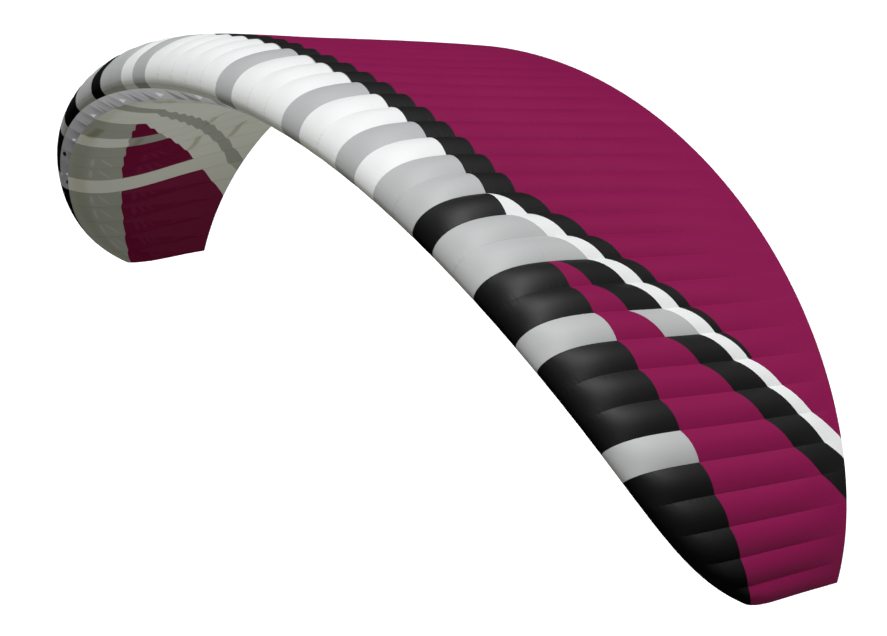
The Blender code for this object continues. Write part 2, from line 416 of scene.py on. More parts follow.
def thicken(item):
    """Gives the sheet its thickness, inwards. The inner side takes the last material."""
    solid = item.modifiers.new("cloth thickness", "SOLIDIFY")
    solid.thickness = SHEET
    solid.offset = -1.0
    solid.material_offset = len(CLOTHS)


def cloth_sheet(name, ribs, runs_of, steps, cloth_of, below=False, left_out=None):
    """A sheet over these rib numbers. runs_of gives a column's runs, and steps the rows of each band."""
    bands = np.repeat(np.arange(len(steps)), steps)
    columns = [runs_of(rib) for rib in ribs]
    grid = np.array([sail_points(rib, runs) for rib, runs in zip(ribs, columns)])
    rows = grid.shape[1]
    steps_along = np.linalg.norm(np.diff(grid, axis=1), axis=2)
    along = np.concatenate([np.zeros((len(ribs), 1)), np.cumsum(steps_along, axis=1)], axis=1)
    across = np.array([Section(rib).along_arch for rib in ribs])
    starts = np.concatenate([[0], np.cumsum(steps)])
    cloths, faces, finish, place, thread, panel = [], [], [], [], [], []
    for column in range(len(ribs) - 1):
        cell = int(math.floor((ribs[column] + ribs[column + 1]) / 2))
        for row in range(rows - 1):
            band = bands[row]
            if left_out and left_out(cell, band):
                continue
            ring = [(column, row), (column, row + 1), (column + 1, row + 1), (column + 1, row)]
            ring = ring[::-1] if below else ring
            cloth = cloth_of(cell, band)
            if cloth not in cloths:
                cloths.append(cloth)
            faces.append([c * rows + r for c, r in ring])
            finish.append(cloths.index(cloth))
            for c, r in ring:
                place.append((ribs[c], columns[c][r] ** 2))
                thread.append((across[c], along[c][r]))
                first, last = along[c][starts[band]], along[c][starts[band + 1]]
                panel.append((along[c][r] - first, last - along[c][r]))
    mesh = bpy.data.meshes.new(name)
    mesh.from_pydata(grid.reshape(-1, 3).tolist(), [], faces)
    mesh.polygons.foreach_set("material_index", finish)
    for map_name, corners in (("place", place), ("thread", thread), ("panel", panel)):
        add_map(mesh, map_name, corners)
    number = mesh.attributes.new("rib", "FLOAT", "POINT")
    number.data.foreach_set("value", np.repeat(np.asarray(ribs, np.float32), rows))
    mesh.shade_smooth()
    crease_and_weld(mesh)
    item = bpy.data.objects.new(name, mesh)
    bpy.context.scene.collection.objects.link(item)
    thicken(item)
    return item, cloths


def flat_area(item):
    """Square metres of the mesh's faces, before any thickness is added."""
    return sum(face.area for face in item.data.polygons)


all_ribs = np.arange(CELLS * COLUMNS_PER_CELL + 1) / COLUMNS_PER_CELL
print(f"{len(all_ribs)} columns from tip to tip")

# %% [markdown]
# ## Nose panels
#
# The nose panels wrap the nose from the inlet's upper lip to the first seam. Their lower edge is a hem,
# a narrow strip that faces down, and its darker colour is painted shade. They are a sheet of their own,
# because on the real wing each is cut and sewn apart from the sail behind it.

# %% Make the nose panels
HEM_SHARE = 0.004
NOSE_STEPS = (4, 22)


def nose_runs(rib):
    """The first band is the hem, and the second the panel itself."""
    first = -math.sqrt(from_tip_line(UPPER_LIP)(rib))
    last = math.sqrt(from_tip_line(NOSE_SEAM)(rib))
    hem = max(first, -math.sqrt(HEM_SHARE))
    return np.concatenate([
        np.linspace(first, hem, NOSE_STEPS[0] + 1)[:-1],
        np.linspace(hem, last, NOSE_STEPS[1] + 1),
    ])


nose, nose_slots = cloth_sheet("nose_panel_cloth", all_ribs, nose_runs, NOSE_STEPS, nose_cloth)
print(f"{nose.name}: {len(nose.data.polygons)} faces, {flat_area(nose):.1f} square metres")

# %% [markdown]
# ## Upper sail and lower sail
#
# The upper sail runs from the nose panels to the tail. The lower sail starts at the inlet's lower lip, but
# in the five cells at each tip it reaches up to the nose panels, because those cells have no inlet. There
# its first band is the black cloth of the nose, wrapped under. Each sail is one sheet from tip to tip.

# %% Make the two sails
UPPER_STEPS = (14, 12, 3, 6, 22)
LOWER_STEPS = (3, 7, 10, 8, 3, 16)
LOWER_SEAMS = (
    (NOSE_SEAM, FRONT_STEP), (SLANT_SEAM, SLANT_STEP * FIRST_STEP_LEFT),
    (WHITE_FRONT, SLANT_STEP), (WHITE_REAR, SLANT_STEP),
)


def tail(rib):
    return 1.0


def closed_nose(rib):
    """Where the lower sail meets the nose panels on a closed cell."""
    lip = from_tip_line(UPPER_LIP)(rib)
    return (math.sqrt(lip) + SEAM_GAP / (Section(rib).chord * 2 * math.sqrt(lip))) ** 2


upper_lines = [nose_start, *map(from_tip_line, (SLANT_SEAM, WHITE_FRONT, WHITE_REAR, BLACK_REAR)), tail]
lower_lines = [closed_nose, from_tip_line(LOWER_FRONT), *(stepped_line(*seam) for seam in LOWER_SEAMS), tail]


def upper_runs(rib):
    return np.sqrt(band_shares(rib, upper_lines, UPPER_STEPS))


def lower_runs(rib):
    return -np.sqrt(band_shares(rib, lower_lines, LOWER_STEPS))


def is_inlet(cell, band):
    return band == 0 and CLOSED_CELLS <= cell < CELLS - CLOSED_CELLS


upper, upper_slots = cloth_sheet("upper_sail_cloth", all_ribs, upper_runs, UPPER_STEPS, upper_cloth)
lower, lower_slots = cloth_sheet(
    "lower_sail_cloth", all_ribs, lower_runs, LOWER_STEPS, lower_cloth, below=True, left_out=is_inlet
)
for item in (upper, lower):
    print(f"{item.name}: {len(item.data.polygons)} faces, {flat_area(item):.1f} square metres")

# %% [markdown]
# ## Ribs
#
# A rib is a flat piece of stiff cloth that gives the wing its section. Holes along its middle let the air
# pass from cell to cell. They could be cut with Booleans, but a filled 2D curve draws them at once: one
# closed line for the edge and one for each hole, filled between and given a thickness. It is turned into
# a mesh once it stands in its place.

# %% Work out a rib's outline
RIB_SHEET = 0.002
RIB_STEPS = 30
RIB_END_RUN = 0.985
LIP_REACH = 0.85  # how far the edge follows the nose to the inlet's upper lip
HOLE_SHARES = (0.14, 0.22, 0.31, 0.40, 0.49, 0.58, 0.67, 0.76)
HOLE_HEIGHT = 0.48  # of the rib's height there
HOLE_LENGTH = 0.030  # half of it, as a share of the chord
HOLE_POINTS = 16


def rib_insets(section, rib, runs, step=0.02):
    """How far the rib's edge lies inside the sail, where the sail may run askew to the rib."""
    inboard, outboard = Section(min(rib + step, CELLS)), Section(max(rib - step, 0.0))
    across = inboard.points(runs) - outboard.points(runs)
    normal_back, normal_up = section.flat_normals(runs)
    outward = normal_back[:, None] * section.back + normal_up[:, None] * section.up
    facing = np.cross(across, np.cross(outward, section.across))
    lean = np.abs((facing * outward).sum(1)) / np.linalg.norm(facing, axis=1)
    lean = np.minimum(lean, 1.0)
    return SHEET / lean + RIB_SHEET / 2 * np.sqrt(1 / lean**2 - 1) + SEAM_GAP


def rib_lines(number):
    """The edge of one rib, its holes and its open mouth, as distances back and up in its own plane."""
    rib = float(number)
    section = Section(rib)
    lip = from_tip_line(UPPER_LIP)(rib)
    front = from_tip_line(LOWER_LIP)(rib)
    above = np.linspace(RIB_END_RUN, 0.0, RIB_STEPS + 1)
    below = -np.linspace(math.sqrt(front), RIB_END_RUN, RIB_STEPS + 1)
    runs = np.concatenate([above, [-math.sqrt(lip) * LIP_REACH], below])
    back, up = section.flat_points(runs)
    normal_back, normal_up = section.flat_normals(runs)
    inset = rib_insets(section, rib, runs)
    lines = [np.column_stack([back - inset * normal_back, up - inset * normal_up])]
    turn = np.linspace(0.0, 2 * math.pi, HOLE_POINTS, endpoint=False)
    for share in HOLE_SHARES:
        run = np.array([math.sqrt(share)])
        top, bottom = section.flat_points(run)[1][0], section.flat_points(-run)[1][0]
        half_up, half_back = (top - bottom) / 2 * HOLE_HEIGHT, HOLE_LENGTH * section.chord
        hole = [section.chord * share + half_back * np.cos(turn), (top + bottom) / 2 + half_up * np.sin(turn)]
        lines.append(np.column_stack(hole))
    mouth = np.column_stack(section.flat_points(-np.sqrt([lip, front])))
    return section, lines, mouth


print(f"the middle rib is drawn with {len(rib_lines(MIDDLE_RIB)[1])} lines")

# %% [markdown]
# ## Rib after rib
#
# Each rib gets two maps of its own, since its looks change from its open mouth backwards and from rib to
# rib: how far a point lies behind the mouth and below its top, and the number of the rib.

# %% Cut the ribs
RIB_WELD = 1e-5


def add_rib_maps(mesh, number, mouth):
    """Metres behind the open front edge and the share of it from the top, and the number of the rib."""
    corners = np.array([mesh.vertices[loop.vertex_index].co[:2] for loop in mesh.loops]) - mouth[0]
    edge = mouth[1] - mouth[0]
    length = np.hypot(*edge)
    behind = corners @ np.array([-edge[1], edge[0]]) / length
    add_map(mesh, "mouth", np.column_stack([behind, corners @ edge / length**2]))
    add_map(mesh, "number", np.tile([float(number), 0.0], (len(corners), 1)))


def filled_mesh(name, lines, thickness):
    """The first line filled but for the others, as a mesh. Its caps are still loose."""
    curve = bpy.data.curves.new(name, "CURVE")
    curve.dimensions = "2D"
    curve.fill_mode = "BOTH"
    curve.extrude = thickness / 2
    for line in lines:
        spline = curve.splines.new("POLY")
        spline.points.add(len(line) - 1)
        points = np.column_stack([line, np.zeros(len(line)), np.ones(len(line))])
        spline.points.foreach_set("co", points.ravel())
        spline.use_cyclic_u = True
    drawn = bpy.data.objects.new(name, curve)
    bpy.context.scene.collection.objects.link(drawn)
    mesh = bpy.data.meshes.new_from_object(drawn.evaluated_get(bpy.context.evaluated_depsgraph_get()))
    bpy.data.objects.remove(drawn)
    return mesh


def cut_rib(number):
    """A rib in its place, with its length and height."""
    section, lines, mouth = rib_lines(number)
    name = f"rib_cloth_{number:02d}"
    mesh = filled_mesh(name, lines, RIB_SHEET)
    add_rib_maps(mesh, number, mouth)
    axes = (section.back, section.up, np.cross(section.back, section.up), section.nose - ORIGIN)
    mesh.transform(Matrix([*np.array(axes).T.tolist(), (0.0, 0.0, 0.0, 1.0)]))
    work = bmesh.new()
    work.from_mesh(mesh)
    bmesh.ops.remove_doubles(work, verts=work.verts, dist=RIB_WELD)
    work.to_mesh(mesh)
    work.free()
    item = bpy.data.objects.new(name, mesh)
    bpy.context.scene.collection.objects.link(item)
    return item, section.chord, float(np.ptp(lines[0][:, 1]))


ribs = [cut_rib(number) for number in range(CELLS + 1)]
print(f"{len(ribs)} ribs with {len(HOLE_SHARES)} holes each, {tip.chord:.2f} to {middle.chord:.2f} m long")

# %% [markdown]
# ## Shader sums
#
# A finish is worked out from the maps. It could be drawn as a web of Math nodes, but plain sums are far
# easier to read. So one small class wraps a socket, and each operator adds a Math node, also where the
# number stands first, as in 1 - mask.


# %% A socket that takes part in sums
class Wire:
    """A shader socket that takes part in sums."""

    def __init__(self, nodes, socket):
        self.nodes = nodes
        self.socket = socket

    def __add__(self, other):
        return self.nodes.maths("ADD", self, other)

    def __sub__(self, other):
        return self.nodes.maths("SUBTRACT", self, other)

    def __rsub__(self, other):
        return self.nodes.maths("SUBTRACT", other, self)

    def __mul__(self, other):
        return self.nodes.maths("MULTIPLY", self, other)

    def __truediv__(self, other):
        return self.nodes.maths("DIVIDE", self, other)

    def __rtruediv__(self, other):
        return self.nodes.maths("DIVIDE", other, self)

    def __lt__(self, other):
        return self.nodes.maths("LESS_THAN", self, other)

    def __gt__(self, other):
        return self.nodes.maths("GREATER_THAN", self, other)

    def __abs__(self):
        return self.nodes.maths("ABSOLUTE", self)

    __radd__ = __add__
    __rmul__ = __mul__


print("sockets can now be added, taken away, multiplied, divided and compared")

# %% [markdown]
# ## One method for every node
#
# Every node comes from one method, which takes its type, its settings, and the values or links of its
# sockets. The floor, the sky and each cloth are then made in the same few words. A Mix node keeps a set of
# sockets for each kind of value: number 0 is the share, and 6, 7 and the output 2 are those for colours.


# %% The method for nodes
class Nodes:
    """A tree of nodes that is being put together."""

    def __init__(self, tree):
        self.tree = tree

    def node(self, kind, settings=None, sockets=None, out=0):
        """Any node: its type, its settings, and the values or links of its sockets."""
        made = self.tree.nodes.new(kind)
        for name, value in (settings or {}).items():
            setattr(made, name, value)
        for key, value in (sockets or {}).items():
            self.plug(value, made.inputs[key])
        return Wire(self, made.outputs[out])

    def plug(self, value, target):
        """Links a wire to a socket, and sets anything else as the socket's own value."""
        if isinstance(value, Wire):
            self.tree.links.new(value.socket, target)
        else:
            target.default_value = value

    def maths(self, operation, *values):
        settings = {"operation": operation}
        return self.node("ShaderNodeMath", settings, dict(enumerate(values)))

    def blend(self, share, first, second):
        """The first colour at 0 and the second at 1."""
        settings = {"data_type": "RGBA"}
        return self.node("ShaderNodeMix", settings, {0: share, 6: first, 7: second}, 2)


print("every node now comes from one method")


# %% What a finish can do
class Finish(Nodes):
    """A material that is being put together."""

    def __init__(self, name):
        self.material = bpy.data.materials.new(name)
        self.material.use_nodes = True
        super().__init__(self.material.node_tree)
        self.shader = self.tree.nodes["Principled BSDF"]

    def feed(self, name, value):
        """Gives one of the shader's own sockets a wire or a value."""
        self.plug(value, self.shader.inputs[name])

    def map(self, name):
        """The two numbers of one of the cloth's maps."""
        read = self.node("ShaderNodeUVMap", {"uv_map": name})
        return tuple(self.node("ShaderNodeSeparateXYZ", None, {"Vector": read}, out) for out in "XY")

    def noise(self, across, along, scale, detail=2.0):
        vector = self.node("ShaderNodeCombineXYZ", None, {0: across, 1: along})
        sockets = {"Vector": vector, "Scale": scale, "Detail": detail}
        return self.node("ShaderNodeTexNoise", {"noise_dimensions": "2D"}, sockets)

    def rise(self, value, low, high):
        """0 below low and 1 above high, with a soft step between."""
        settings = {"interpolation_type": "SMOOTHSTEP"}
        return self.node("ShaderNodeMapRange", settings, {0: value, 1: low, 2: high})

    def fade(self, value, low, high):
        """1 below low and 0 above high, with a soft step between."""
        return 1 - self.rise(value, low, high)

    def tint(self, colour, amount):
        """A colour made darker or lighter by a number."""
        settings = {"data_type": "RGBA", "blend_type": "MULTIPLY"}
        return self.node("ShaderNodeMix", settings, {0: 1.0, 6: colour, 7: amount}, 2)

    def bump(self, height, strength):
        """Small heights in metres, which only turn the light."""
        self.feed("Normal", self.node(
            "ShaderNodeBump", None, {"Strength": strength, "Distance": 1.0, "Height": height}
        ))


helpers = [name for name in vars(Finish) if not name.startswith("__")]
print(f"a finish can {', '.join(helpers)}")

# %% [markdown]
# ## Ripstop threads, seams and stitches
#
# Paraglider cloth is a very light nylon with a thicker thread every few millimetres. Along every rib and
# every panel edge runs a seam with two rows of stitches. These lines are far too fine for the mesh, but
# the maps are in metres, so each one is a short sum that is right at any distance.

# %% Lines of the weave and of the sewing
RIPSTOP_PITCH = 0.006
RIPSTOP_THREAD = 0.09  # half of a thread's width, as a share of the pitch
CELL_WIDTH = 0.24  # about, to turn cells into metres next to a rib
STITCH_ROW = 0.009
STITCH_HALF = 0.0012
STITCH_PITCH = 0.012
STITCH_DASH = 0.32  # half of a stitch, as a share of the pitch
OVAL_SOFT = (0.55, 1.15)  # squares of the distances where an oval starts and stops to fade


def near_whole(finish, value):
    """How far a number is from the nearest whole one, up to a half."""
    return finish.maths("PINGPONG", value, 0.5)


def ribs_from_tip(finish, rib):
    """The rib number counted from the nearer tip."""
    return finish.maths("PINGPONG", rib, CELLS / 2)


def ripstop(finish, across, along):
    """1 on the thicker threads of the weave."""
    lines = [near_whole(finish, value / RIPSTOP_PITCH) < RIPSTOP_THREAD for value in (across, along)]
    return finish.maths("MAXIMUM", *lines)


def stitches(finish, distance, run):
    """1 on the dashes of the two rows of stitches beside a seam."""
    row = abs(distance - STITCH_ROW) < STITCH_HALF
    dash = near_whole(finish, run / STITCH_PITCH) < STITCH_DASH
    return row * dash


def oval(finish, across, along):
    """1 inside an oval whose half lengths are 1."""
    return finish.fade(across * across + along * along, *OVAL_SOFT)


print(f"a thread every {RIPSTOP_PITCH * 1000:.0f} mm, and {1 / STITCH_PITCH:.0f} stitches to the metre")

# %% [markdown]
# ## What shows through the lower cloth
#
# The lower sail is the thinnest cloth, so against the bright sky the pieces inside show as soft shades,
# and these are painted shadows: the edge of each rib, a brown band of shadow behind the inlets, and
# slanting cross pieces that spread the pull of the lines. Towards the tips the whole cloth is painted
# darker, as shade. On the coloured panels there the openings of the pieces inside are painted lighter,
# as light that comes through them: slim leaves, a row of dots that shrink, and a wedge in each of the
# five closed cells. They are worked out as shades in the cloth's own maps, since real see-through cloth
# would need many more light paths and would gain nothing.

# %% Painted shadows behind the sheer cloth
# Cross pieces, whose shadows are painted on: rib number from a tip and share of chord at one end, and at the
# other.
CROSS_PIECES = (
    (9.5, 0.577, 10.4, 0.612), (7.0, 0.603, 8.1, 0.607), (7.2, 0.794, 8.4, 0.804), (9.9, 0.082, 11.0, 0.100),
    (9.0, 0.272, 9.9, 0.280), (16.8, 0.110, 18.6, 0.125), (19.2, 0.125, 20.0, 0.135),
)
CROSS_FRINGE = (-0.15, 0.10)  # ribs before and after its end where a piece starts and stops to show
# Painted shadows and shade: where each starts to fade, where it ends, and how dark it is.
CROSS_PIECE = (0.0072, 0.024, 0.65)  # share of chord from its middle line
RIB_EDGE = (0.001, 0.012, 0.22)  # metres from the rib
TIP_PAINTED_SHADE = (3.0, 12.0, 0.20)  # ribs from a tip
FRONT_SHADOW = (0.01, 0.05, 0.30)  # share of chord from its middle line
FRONT_SHADOW_SHARE = 0.08  # where its middle line lies near the tips
FRONT_SHADOW_SHIFT = (10.0, 14.0, 0.02)  # ribs from a tip between which it moves to the front, and how far


def faded(finish, value, mark):
    start, end, depth = mark
    return finish.fade(value, start, end) * depth


def cross_piece(finish, from_tip, share, piece):
    """The painted shadow of one slanting piece, which is soft on all sides."""
    start, start_share, end, end_share = piece
    ends = {0: from_tip, 1: start, 2: end, 3: start_share, 4: end_share}
    middle_line = finish.node("ShaderNodeMapRange", None, ends)
    before, after = CROSS_FRINGE
    inside = finish.rise(from_tip, start + before, start + after)
    inside = inside * finish.fade(from_tip, end - after, end - before)
    return faded(finish, abs(share - middle_line), CROSS_PIECE) * inside


def painted_shadows(finish, from_tip, share, to_rib):
    """Painted shadows of the rib edges, of the band behind the inlets and of the cross pieces, and painted
    shade towards the tips.
    """
    start, end, shift = FRONT_SHADOW_SHIFT
    front = FRONT_SHADOW_SHARE - finish.rise(from_tip, start, end) * shift
    marks = faded(finish, to_rib, RIB_EDGE) + faded(finish, from_tip, TIP_PAINTED_SHADE)
    marks = marks + faded(finish, abs(share - front), FRONT_SHADOW)
    for piece in CROSS_PIECES:
        marks = marks + cross_piece(finish, from_tip, share, piece)
    return marks


print(f"{len(CROSS_PIECES)} cross pieces show on each half")

# %% Painted light through openings behind the coloured panels
# Leaves of painted light: share of chord at the rib, slant across the cell, half length, half width.
LEAVES = (
    (0.128, 0.00, 0.34, 0.009), (0.150, 0.09, 0.34, 0.009), (0.350, 0.02, 0.36, 0.017),
    (0.378, 0.07, 0.36, 0.012), (0.400, 0.12, 0.34, 0.010),
)
LEAF_MIDDLE = 0.46  # share of the cell's width
LEAF_CELLS = 8
DOTS = (0.640, 0.668, 0.695, 0.722, 0.748, 0.774)  # share of chord
DOT_MIDDLE = 0.78  # share of the cell's width
DOT_HALF_LENGTH = 0.17  # of the first, as a share of the cell's width
DOT_SHRINK = 0.02
DOT_HALF_WIDTH = 0.010  # share of chord
DOT_LIGHT = 0.8
WEDGE_FRONT = 0.28  # share of chord
WEDGE_EDGE = (0.29, 0.19)  # share of chord and share of the cell's width that the slanting edge starts at
WEDGE_SLANT = 1.3
WEDGE_SOFT = 0.03


def light_through_openings(finish, from_tip, share):
    """Painted light through leaves and dots in the outer cells, and through a wedge in each closed cell."""
    outward = 1 - finish.maths("FRACT", from_tip)
    marks = 0.0
    for start, slant, half_length, half_width in LEAVES:
        across = (outward - LEAF_MIDDLE) / half_length
        along = (share - start - outward * slant) / half_width
        marks = oval(finish, across, along) + marks
    for number, centre in enumerate(DOTS):
        across = (outward - DOT_MIDDLE) / (DOT_HALF_LENGTH - DOT_SHRINK * number)
        marks = marks + oval(finish, across, (share - centre) / DOT_HALF_WIDTH) * DOT_LIGHT
    past_edge = outward - (share - WEDGE_EDGE[0]) * WEDGE_SLANT - WEDGE_EDGE[1]
    wedge = finish.fade(past_edge, -WEDGE_SOFT, WEDGE_SOFT) * (share > WEDGE_FRONT)
    return finish.maths("MAXIMUM", marks * (from_tip < LEAF_CELLS), wedge * (from_tip < CLOSED_CELLS))


print(f"{len(LEAVES)} leaves and {len(DOTS)} dots in each of the {LEAF_CELLS} outer cells")

# %% [markdown]
# ## Ripstop cloth
#
# The cloth is coated so that it holds air, and the coat gives it a soft shine. Three things tell it from
# plastic: the fine squares of the ripstop threads, the stitched seams, and the small creases that run
# square to a seam where the thread draws the cloth in. One function makes the finish for every colour,
# because the cloths differ only in colour, shine and in how much shows through them.

# %% How the sheer cloth looks with the painted shadows and light
# The painted shadows darken the cloth towards this brown, and the painted light lifts it by the gain.
SHADOW_BROWN = (0.62, 0.58, 0.46)  # what the darker marks leave of the cloth's colour
PALE_GAIN = 1.20  # what the lighter marks make of it
PALE_LIFT = 0.012


def show_through(finish, colour, from_tip, share, to_rib, shadow_strength, light_strength):
    """The colour of sheer cloth with the painted shadows and painted light of what lies behind it."""
    brown = tuple(part * left for part, left in zip(colour, SHADOW_BROWN)) + (1.0,)
    pale = tuple(part * PALE_GAIN + PALE_LIFT for part in colour[:3]) + (1.0,)
    lit = finish.blend(light_through_openings(finish, from_tip, share) * light_strength, colour, pale)
    return finish.blend(painted_shadows(finish, from_tip, share, to_rib) * shadow_strength, lit, brown)


sheer = [name for name in CLOTHS if name.startswith("lower")]
print(f"things show through {len(sheer)} of the {len(CLOTHS)} cloths")

# %% The outer side of the cloth
SEAM_SOFT = (0.0016, 0.0064)  # metres from the seam's line where its shade starts and stops to fade
SEAM_SHADE = 0.018
STITCH_SHADE = 0.03
THREAD_SHADE = 0.02
MOTTLE_SHADE = 0.05
SEAM_ROUGHNESS = 0.10
THREAD_ROUGHNESS = 0.04
MOTTLE_ROUGHNESS = 0.10
MOTTLE_SCALE = 1.7
THREAD_HEIGHT = 0.00006
STITCH_HEIGHT = 0.0002
CREASE_HEIGHT = 0.0035
CREASE_SCALE = 34.0
CREASE_DETAIL = 3.0
CREASE_STRETCH = 0.35  # creases are longer across the cell than along the chord
CREASE_REACH = 0.07  # metres from a rib
OUTER_BUMP = 0.8
# The lower cloth is painted darker by this much, as shade that is deepest towards the tips.
LOWER_SHADE = 0.16
# Where that painted shade lifts again inwards: rib numbers from a tip, and by how much.
LOWER_GAINS = ((3.0, 8.0, 0.09), (9.0, 15.0, 0.08))
# Painted shade in the gathers of the upper cloth at the nose: metres from a rib, share of chord, and how dark
# they are.
GATHER_REACH = 0.014
GATHER_END = (0.008, 0.03)
GATHER_SHADE = 0.07


def cloth_finish(name, colour, roughness, shine, shadow_strength, light_strength):
    """Coated ripstop in one colour. The last two say how strongly the painted shadows and painted light of
    what lies behind it show.
    """
    finish = Finish(name)
    rib, share = finish.map("place")
    across, along = finish.map("thread")
    to_rib = near_whole(finish, rib) * CELL_WIDTH
    to_edge = finish.maths("MINIMUM", *finish.map("panel"))

    threads = ripstop(finish, across, along)
    sewn = finish.maths("MAXIMUM", stitches(finish, to_rib, along), stitches(finish, to_edge, across))
    seam = finish.fade(finish.maths("MINIMUM", to_rib, to_edge), *SEAM_SOFT)
    mottle = finish.noise(across, along, MOTTLE_SCALE) - 0.5
    shade = 1 - seam * SEAM_SHADE - sewn * STITCH_SHADE - threads * THREAD_SHADE + mottle * MOTTLE_SHADE
    if shadow_strength:
        from_tip = ribs_from_tip(finish, rib)
        cloth = show_through(finish, colour, from_tip, share, to_rib, shadow_strength, light_strength)
        # Painted shade on the lower cloth, darkest towards the tips.
        shade = shade - LOWER_SHADE
        for low, high, gain in LOWER_GAINS:
            shade = shade + finish.rise(from_tip, low, high) * gain
    else:
        cloth = colour
        # Painted shade in the gathers beside each rib near the nose.
        gather = finish.fade(to_rib, 0.0, GATHER_REACH) * finish.fade(share, *GATHER_END)
        shade = shade - gather * GATHER_SHADE
    finish.feed("Base Color", finish.tint(cloth, shade))

    rough = roughness + seam * SEAM_ROUGHNESS - threads * THREAD_ROUGHNESS + mottle * MOTTLE_ROUGHNESS
    finish.feed("Roughness", rough)
    finish.feed("Specular IOR Level", shine)
    creases = finish.noise(across * CREASE_STRETCH, along, CREASE_SCALE, CREASE_DETAIL)
    creases = creases * finish.fade(to_rib, 0.0, CREASE_REACH)
    finish.bump(threads * THREAD_HEIGHT + creases * CREASE_HEIGHT + sewn * STITCH_HEIGHT, OUTER_BUMP)
    return finish.material


finishes = {}
for name, (colour, *numbers) in CLOTHS.items():
    finishes[name] = cloth_finish(name + "_ripstop", (*colour, 1.0), *numbers)
print(f"the white cloth is made of {len(finishes['white'].node_tree.nodes)} nodes")

# %% [markdown]
# ## The inner side
#
# Seen through the inlets, the cells are dark but not black, because the thin cloth lets the light through.
# Light paths through two sheets would be slow and noisy, so the inner side glows a little instead, most
# in the middle of a cell.

# %% Make the inner side and sew the colours on
INNER_DARK = (0.32, 0.32, 0.33, 1.0)
INNER_PALE = (0.60, 0.60, 0.62, 1.0)
# How far the colour goes from dark to pale at a rib, and what the other things add to it.
INNER_LEVEL = 0.35
INNER_MIDDLE_GAIN = 0.4
INNER_MOTTLE_GAIN = 0.3
INNER_THREAD_LOSS = 0.1
INNER_MOTTLE_SCALE = 2.3
INNER_ROUGHNESS = 0.7
INNER_SHINE = 0.1
INNER_GLOW = 0.26


def glow(finish, colour):
    """A colour that also shines by itself a little, in place of light that comes through the cloth."""
    finish.feed("Base Color", colour)
    finish.feed("Emission Color", colour)
    finish.feed("Emission Strength", INNER_GLOW)
    finish.feed("Specular IOR Level", INNER_SHINE)


def inner_finish(name):
    finish = Finish(name)
    rib, _ = finish.map("place")
    across, along = finish.map("thread")
    threads = ripstop(finish, across, along)
    mottle = finish.noise(across, along, INNER_MOTTLE_SCALE) - 0.5
    in_cell = near_whole(finish, rib) * 2
    level = INNER_LEVEL + in_cell * INNER_MIDDLE_GAIN
    level = level + mottle * INNER_MOTTLE_GAIN - threads * INNER_THREAD_LOSS
    glow(finish, finish.blend(level, INNER_DARK, INNER_PALE))
    finish.feed("Roughness", INNER_ROUGHNESS)
    return finish.material


inner = inner_finish("inner_ripstop")
for item, slots in ((nose, nose_slots), (upper, upper_slots), (lower, lower_slots)):
    for cloth in slots:
        item.data.materials.append(finishes[cloth])
    item.data.materials.append(inner)
    print(f"{item.name} wears {', '.join(slots)}")

# %% [markdown]
# ## Rib cloth
#
# A rib is cut from a stiffer cloth in a pale lavender grey. Its colour grows darker behind its mouth and
# towards the tips, painted shade where less light gets in. Three marks are drawn on it near the mouth: a
# bright patch of painted light on every third rib, a dark patch of painted shadow on the others, and near
# the tips a black eyelet on every second one. Their outlines are so simple that a few slanting lines and
# an oval in the mouth's map draw them.

# %% Mark the ribs
# The grey of the painted shadows, the white of the patches of painted light, and the black of the eyelets.
HOLLOW_SHADOW_GREY = (0.25, 0.25, 0.255, 1.0)
LIGHT_PATCH_WHITE = (0.95, 0.95, 0.95, 1.0)
EYELET_BLACK = (0.01, 0.01, 0.01, 1.0)
# The painted shade of a rib near the tips and in the middle, and the rib numbers between which it changes.
RIB_TIP_SHADE = 0.52
RIB_MIDDLE_SHADE = 1.04
RIB_SHADE_CHANGE = (5.0, 16.0)
# Lines on a rib: metres behind its mouth at the top, and how many more at the foot.
LIGHT_PATCH_REAR = (-0.007, 0.045)
LIGHT_PATCH_FRONT = (0.055, -0.058)
LIGHT_PATCH_FOOT = (-0.244, 0.290)
HOLLOW_FRONT = (0.045, -0.041)
HOLLOW_REAR = 0.027
HOLLOW_SOFT = 0.003
HOLLOW_SHARE = 0.8
HOLLOW_CHANGE = (8.0, 16.0)  # rib numbers from a tip between which the hollows come in
LIGHT_PATCHES_FROM = 5.5  # rib number from a tip
EYELET_PLACE = (0.070, 0.13)  # metres behind the mouth, share of the way down it
EYELET_HALF = (0.022, 0.21)
EYELET_SLANT = 4.0  # share of the way down it for each metre behind
EYELETS_TO = 7.5  # rib number from a tip


def slanting(down, line):
    """Metres behind the mouth of a line that slants from its top to its foot."""
    top, more = line
    return down * more + top


